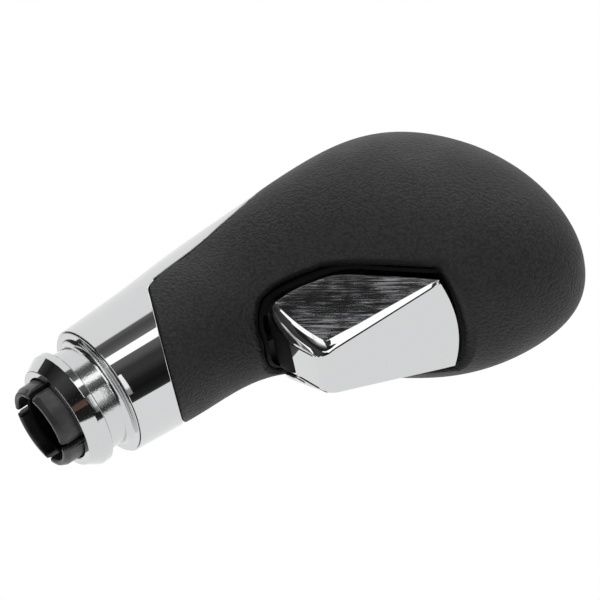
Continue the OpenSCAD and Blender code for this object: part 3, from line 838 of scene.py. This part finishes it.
flank_corner = on_flank([30.28, -6.56, 46.63])
flank_tip = on_flank([17.15, -10.12, 45.2])
flank_back = on_flank(
    edge_line(
        [flank_tip, [17.6, -10.6, 47.5], [18.88, -11.4, 51.03], [20.41, -11.86, 54.05],
         [22.05, -12.14, 56.6], [24.82, -12.1, 59.19], [30.12, -11.77, 63.41],
         [35.5, -11.38, 67.5], flank_top],
        48,
    )
)
flank_low = on_flank(
    edge_line(
        [flank_tip, [18.9, -9.65, 45.14], [21.07, -8.95, 45.2], [23.9, -8.17, 45.4],
         [27.09, -7.31, 45.9], flank_corner],
        32,
    )
)
flank_side = flank_top + (flank_corner - flank_top) * np.linspace(0, 1, 15)[:, None]
print("flank from", flank_tip.round(1), "to", flank_top.round(1))

# %% The front, the toe and the bevels
front_top = np.array([38.6, -10.5, 69.2])
nose_start = np.array([32.4, -5.3, 46.8])
nose = arc(nose_start, np.array([32.1, -4.75, 43.55]), np.array([29.2, -4.5, 43.5]))
toe = nose[4]
straight_rim = front_top + (nose_start - front_top) * np.linspace(0, 1, 11)[:, None]
rim_line = np.vstack([straight_rim, nose[1:5]])
beside = np.array([-0.053, -0.976, -0.212])
side_bevel = arc(flank_side, rim_line + beside * np.linspace(0.25, 0.62, 15)[:, None], rim_line)
low_way = np.array([0.222, -0.587, -0.779])
vertex = flank_corner + 1.2 * np.array([0.764, 0.601, -0.236])
knee = (vertex + toe) / 2 + 0.45 * np.array([0.62, -0.62, -0.48])
to_vertex = flank_corner + (vertex - flank_corner) * np.linspace(0, 1, 5)[:, None]
mitre = np.vstack([to_vertex, arc(vertex, knee, toe, 5)[1:]])
blend = np.linspace(0, 1, 5)[None, :, None]
side_bevel[:, 10:] = side_bevel[:, 10:11] * (1 - blend) + mitre[:, None] * blend
outside_line = rim_line[10:] - side_bevel[-1, 10:]
side_bevel[:, 10:] += np.linspace(0, 1, 9)[:, None, None] ** 2 * outside_line

part = np.linspace(0, 1, 32)[:, None]
run = np.gradient(flank_low, axis=0)
inward = np.cross(low_way, run)
inward /= -np.linalg.norm(inward, axis=1, keepdims=True) * np.sign(inward[:, 2:])
band_low = flank_low + inward * (0.4 + 0.9 * part)
late = part**6
low_bevel = arc(flank_low, (flank_low + band_low) / 2, band_low, 5)
low_bevel += late * (mitre[:5, None] - low_bevel[:, -1:])
band_low = low_bevel[-1]
skirt_low = edge_line(
    [[16.7, -8.8, 44.4], [17.1, -7.8, 43.9], [18.4, -6.7, 43.3], [20.4, -5.8, 43.0],
     [22.4, -5.3, 42.95], [24.8, -5.2, 43.05], [27.6, -5.1, 43.4], [30.0, -5.0, 43.85], toe],
    32,
)
bulge = (band_low + skirt_low) / 2 + 0.3 * np.array([0.1, -0.75, -0.65]) * np.linalg.norm(
    band_low - skirt_low, axis=1, keepdims=True
)
skirt = arc(band_low, bulge, skirt_low, 5)
skirt += late * (mitre[4:, None] - skirt[:, -1:])
print("toe at", toe.round(2), "bevels", side_bevel.shape, low_bevel.shape, skirt.shape)

# %% The underside and the whole cap
across = np.linspace(-1, 1, 17)
# the whole cap sits this much further in than the lines above were drawn
settle = np.array([-0.3, 0.25, 0.18])


def over(point, crown=0.0, rise=0.0):
    """A line across the trigger from a settled point to its mirror image, bowed as a parabola."""
    bow, point = 1 - across**2, point + settle
    return np.stack([point[0] + crown * bow, across * -point[1], point[2] + rise * bow], -1)


down = np.linspace(0, 1, 11)[:, None, None]
front = over(front_top, 1.45, 1.2) * (1 - down) + over(nose_start) * down
belly_end = np.array([22.7, -4.45, 43.05])
under = np.stack([over(nose[-1]), over(belly_end)])
lower = skirt_low[15:]
inner_edge = belly_end + (nose[-1] - belly_end) * np.linspace(0, 1, len(lower))[:, None]
soft_edge = np.stack([lower[:, 0], lower[:, 1] + 0.35, inner_edge[:, 2] - 0.02], -1)
roll = arc(lower, soft_edge, inner_edge, 5)
roll[:, -1] = nose[4:]

cap_points, cap_faces, count = [], [], 0
for grid in (side_bevel, low_bevel, skirt, roll):
    for side in (1, -1):
        cap_points.append(((grid + settle) * [1, side, 1]).reshape(-1, 3))
        cap_faces += cells(*grid.shape[:2], False, False, count).tolist()
        count += len(cap_points[-1])
for grid in (front, np.stack([over(n) for n in nose]), under):
    cap_points.append(grid.reshape(-1, 3))
    cap_faces += cells(*grid.shape[:2], False, False, count).tolist()
    count += len(cap_points[-1])
outline = np.vstack([flank_back, flank_side[1:], flank_low[-2:0:-1]])
for side in (1, -1):
    cap_points.append((outline + settle) * [1, side, 1])
    cap_faces.append(list(range(count, count + len(outline))))
    count += len(outline)
cap = piece(
    "faceted_trigger_cap", np.concatenate(cap_points), cap_faces, chrome,
    "trigger", "trigger_cap", merge=0.004,
)

# %% [markdown]
# ## Walls, crisp edges and rubbed flanks
# The strips are only a skin, so Solidify gives the cap its wall and Bevel breaks the sharp
# edges, as tumbling does before the plate goes on. Flat facets of chrome must mirror as
# flat glass, and plain smooth shading would bend them towards their neighbours. So the
# creases are marked sharp and the normals are weighted by the size of the faces.

# %% Finishing the cap
cap_wall, broken_edge, crease = 0.7, 0.11, math.radians(24)
cap.data.materials.append(rubbed)
cap.data.set_sharp_from_angle(angle=crease)
crisp = set()
for face in cap.data.polygons:
    # the strips are made of small faces, and only a flank has more than eight corners
    if len(face.vertices) > 8:
        face.material_index = 1
        crisp |= {tuple(sorted(key)) for key in face.edge_keys}
wall = cap.modifiers.new("wall", "SOLIDIFY")
wall.thickness, wall.offset = cap_wall * MM, -1.0
weights = cap.data.attributes.new("bevel_weight_edge", "FLOAT", "EDGE")
keys = [tuple(sorted(edge.vertices)) for edge in cap.data.edges]
weights.data.foreach_set("value", [float(key in crisp) for key in keys])
edges = cap.modifiers.new("edges", "BEVEL")
edges.width, edges.segments, edges.limit_method = broken_edge * MM, 2, "WEIGHT"
edges.use_clamp_overlap = False
level = cap.modifiers.new("flat faces", "WEIGHTED_NORMAL")
level.weight, level.keep_sharp = 80, True
print("flank faces:", sum(f.material_index for f in cap.data.polygons))

# %% [markdown]
# ## The black chin
# The cap is open at its lower end, and there the black carrier under it shows: a rounded
# chin that fills the cap from flank to flank and reaches a little past it towards the
# neck. It is drawn as a few lines across the trigger, each with its place and its half
# width, joined into a sheet that Solidify makes a wall.

# %% The chin
# x, half width, z
chin_rows = [
    [16.9, 7.3, 48.4], [16.0, 7.4, 47.4], [15.4, 7.3, 46.3], [15.2, 6.7, 45.0],
    [15.9, 6.0, 43.95], [17.6, 5.5, 43.55], [20.0, 5.0, 43.75], [22.9, 4.3, 44.3],
    [24.8, 4.1, 44.9],
]
chin_rows = edge_line(chin_rows, 25)
chin_wall = 0.6
across = np.linspace(-1, 1, 15)
bow = 1 - across**4
chin_x, chin_half, chin_z = chin_rows[:, :1], chin_rows[:, 1:2], chin_rows[:, 2:]
chin_grid = np.stack([chin_x - 0.15 * bow, chin_half * across, chin_z - 0.25 * bow], -1)
chin = piece(
    "black_trigger_chin", chin_grid, cells(*chin_grid.shape[:2], False, False), liner,
    "trigger", None,
)
wall = chin.modifiers.new("wall", "SOLIDIFY")
wall.thickness, wall.offset = chin_wall * MM, -1.0

# %% [markdown]
# ## Light, floor and what the chrome mirrors
# The photograph is a studio shot on white. The world gives soft light from all round, and
# rays that come from the camera or from a mirror see plain white. Polished chrome only
# looks like chrome when it has something dark and something bright to mirror, so black and
# white cards stand round the knob, seen by mirrors alone. Soft lamps give the leather its
# sheen. The pale floor can be seen from above and not from below, because the photograph's
# camera looks up at the knob.

# %% World and floor
world = bpy.data.worlds.new("white studio")
bpy.context.scene.world = world
world.use_nodes = True
tree = world.node_tree
seen = tree.nodes["Background"]
seen.inputs["Color"].default_value = (1, 1, 1, 1)
light = node(tree, "Background", Color=(1, 1, 1, 1), Strength=0.62)
path = node(tree, "LightPath")
seen_ray = node(tree, "Math", (path, "Is Camera Ray"), (path, "Is Glossy Ray"), operation="ADD")
any_ray = node(
    tree, "Math", (seen_ray, 0), (path, "Is Transmission Ray"), operation="ADD", use_clamp=True
)
choose = node(tree, "MixShader", (any_ray, 0), (light, 0), (seen, 0))
feed(tree, tree.nodes["World Output"], Surface=(choose, 0))


def staged(name, points, faces, material):
    """A thing of the studio, not of the knob: the floor or a card. Points are in millimetres."""
    mesh = bpy.data.meshes.new(name)
    mesh.from_pydata((np.asarray(points, float).reshape(-1, 3) * MM).tolist(), [], faces)
    mesh.materials.append(material)
    made = bpy.data.objects.new(name, mesh)
    bpy.context.scene.collection.objects.link(made)
    return made


floor_paint = bpy.data.materials.new("pale floor")
floor_paint.use_nodes = True
tree = floor_paint.node_tree
tree.nodes.remove(tree.nodes["Principled BSDF"])
paint = node(tree, "BsdfDiffuse", Color=(0.8, 0.8, 0.8, 1))
eye = node(tree, "LightPath")
# a glow of 0.2 for all rays, and 0.24 more for those that come from the camera
paler = node(tree, "Math", (eye, "Is Camera Ray"), 0.24, 0.2, operation="MULTIPLY_ADD")
glow = node(tree, "Emission", Strength=(paler, 0))
both = node(tree, "AddShader", (paint, 0), (glow, 0))
clear = node(tree, "BsdfTransparent")
side = node(tree, "NewGeometry")
choose = node(tree, "MixShader", (side, "Backfacing"), (both, 0), (clear, 0))
feed(tree, tree.nodes["Material Output"], Surface=(choose, 0))
half, level_z = 700, -2.2
floor_corners = [[x * half, y * half, level_z] for x, y in ((-1, -1), (1, -1), (1, 1), (-1, 1))]
floor = staged("studio_floor", floor_corners, [[0, 1, 2, 3]], floor_paint)
floor.visible_glossy = False
print("world and floor are set")

# %% Cards that only mirrors see


def card(name, steps, rise, far=620.0, centre=(8, 0, 35), colour=(1, 1, 1)):
    """A band of a ball round the knob. steps gives a strength for each of a few directions, in
    degrees round the knob, and rise the lowest and the highest angle above level: x and y are
    the cosine and sine of the turn times the cosine of the rise, and z is the sine of the
    rise, all times the distance. In between, the strength changes evenly."""
    steps = np.array(steps, float)
    turns = np.unique(np.concatenate([steps[:, 0], np.arange(steps[0, 0], steps[-1, 0], 1.0)]))
    a, e = np.meshgrid(np.radians(turns), np.radians(np.linspace(*rise, 9)), indexing="ij")
    points = np.stack([np.cos(e) * np.cos(a), np.cos(e) * np.sin(a), np.sin(e)], -1) * far
    paper = bpy.data.materials.new(name)
    paper.use_nodes = True
    tree = paper.node_tree
    tree.nodes.remove(tree.nodes["Principled BSDF"])
    shade = node(tree, "Attribute", attribute_name="glow")
    glow = node(tree, "Emission", Color=(*colour, 1), Strength=(shade, "Fac"))
    feed(tree, tree.nodes["Material Output"], Surface=(glow, 0))
    faces = cells(len(turns), 9, False, False).tolist()
    made = staged(name, points + np.array(centre), faces, paper)
    shades = made.data.attributes.new("glow", "FLOAT", "POINT")
    shades.data.foreach_set("value", np.repeat(np.interp(turns, *steps.T), 9))
    made.visible_camera = made.visible_diffuse = made.visible_shadow = False
    made.visible_transmission = False
    return made


card(
    "room_band",
    [(-109, 0.95), (-106.5, 0.16), (-98, 0.09), (-90, 0.12), (-81.6, 0.22), (-81, 1.6),
     (-68, 1.6), (-67.4, 0.16), (-58, 0.12), (-50, 0.05), (-38, 0.05), (-26, 0.018),
     (-14, 0.01), (-2, 0.022), (3, 0.05), (4, 0.9)],
    (3, 46),
)
card("dark_flank_card", [(-130, 0.03), (-100, 0.02), (-91, 0.03)], (-23.5, 3.5))
card("bright_panel", [(-90.5, 1.5), (-80, 1.6), (-47, 1.6)], (-23, 3))
card("dark_toe_card", [(-46.5, 0.015), (4, 0.012)], (-23, 3))
card(
    "dark_room_below",
    [(-160, 0.06), (-141, 0.015), (-123, 0.035), (-104, 0.07), (-83, 0.05), (-61, 0.012),
     (-15, 0.018), (-4, 0.03)],
    (-49.7, -22.5),
)
card("dark_corner_card", [(-165, 0.06), (-141, 0.015), (-131, 0.02)], (-23, -6))
card("white_below", [(-147, 1.5), (-85, 1.5)], (-69, -58.6))
card("dark_skirt_card", [(-147, 0.1), (-120, 0.05), (-85, 0.08)], (-58.7, -49.5))
card("grey_toe_card", [(-180, 0.3), (-168, 0.14), (-146.5, 0.1)], (-72, -49.5))
card("dark_left_below", [(143, 0.03), (190, 0.03)], (-69, -19))
card("dark_straight_below", [(-180, 0.04), (180, 0.04)], (-90, -73))
card("copper_card", [(-46, 0.11), (-32, 0.15)], (-46, -38), 600, colour=(1.0, 0.6, 0.47))
card(
    "low_bright_card", [(-45, 1.3), (-27, 1.2), (-24, 0.4), (-17, 0.3)],
    (21.5, 29.3), 33, (0, 0, 0),
)


def lamp(name, at, size, power, mirrored=True):
    """A square soft lamp at a point in millimetres, which faces the knob. A lamp that isn't
    mirrored lights dull surfaces only."""
    data = bpy.data.lights.new(name, "AREA")
    data.size = size * MM
    data.energy = power
    made = bpy.data.objects.new(name, data)
    bpy.context.scene.collection.objects.link(made)
    at = Vector(at) * MM
    aim = (Vector((8, 0, 50)) * MM - at).to_track_quat("-Z", "Y")
    made.matrix_world = Matrix.Translation(at) @ aim.to_matrix().to_4x4()
    made.visible_glossy = mirrored
    return made


lamp("soft_lamp_above", (-120, -250, 430), 260, 0.12)
lamp("soft_lamp_side", (330, -60, 260), 160, 0.08)
lamp("soft_lamp_low", (-60, -400, 30), 160, 2.2, mirrored=False)

# %% [markdown]
# ## The camera
# The photograph looks up at the knob's near side from the front, with the camera turned
# over by more than half a right angle, so that the knob lies across the picture. The
# numbers come from fitting the round rim, flange and fingers to their outlines.

# %% Camera
turn, rise, roll = np.radians([47.6, -23.86, 57.11])
away, to_right, to_up, above_mouth = 500, 39.01, 17.73, 12.2
back = np.array(
    [math.sin(turn) * math.cos(rise), -math.cos(turn) * math.cos(rise), math.sin(rise)]
)
level_right = np.array([math.cos(turn), math.sin(turn), 0.0])
level_up = np.cross(back, level_right)
right = math.cos(roll) * level_right + math.sin(roll) * level_up
up = -math.sin(roll) * level_right + math.cos(roll) * level_up
at = (away * back + to_right * right + to_up * up + np.array([0, 0, above_mouth])) * MM
lens = bpy.data.cameras.new("camera")
lens.sensor_width = 36.0
lens.lens = 154.8
lens.clip_start, lens.clip_end = 0.01, 10.0
camera = bpy.data.objects.new("camera", lens)
bpy.context.scene.collection.objects.link(camera)
turned_to = Matrix([[*v] for v in np.stack([right, up, back], -1)])
camera.matrix_world = Matrix.Translation(Vector(at)) @ turned_to.to_4x4()
bpy.context.scene.camera = camera
bpy.context.scene.view_settings.view_transform = "Standard"
print("camera at", (at / MM).round(1), "mm")
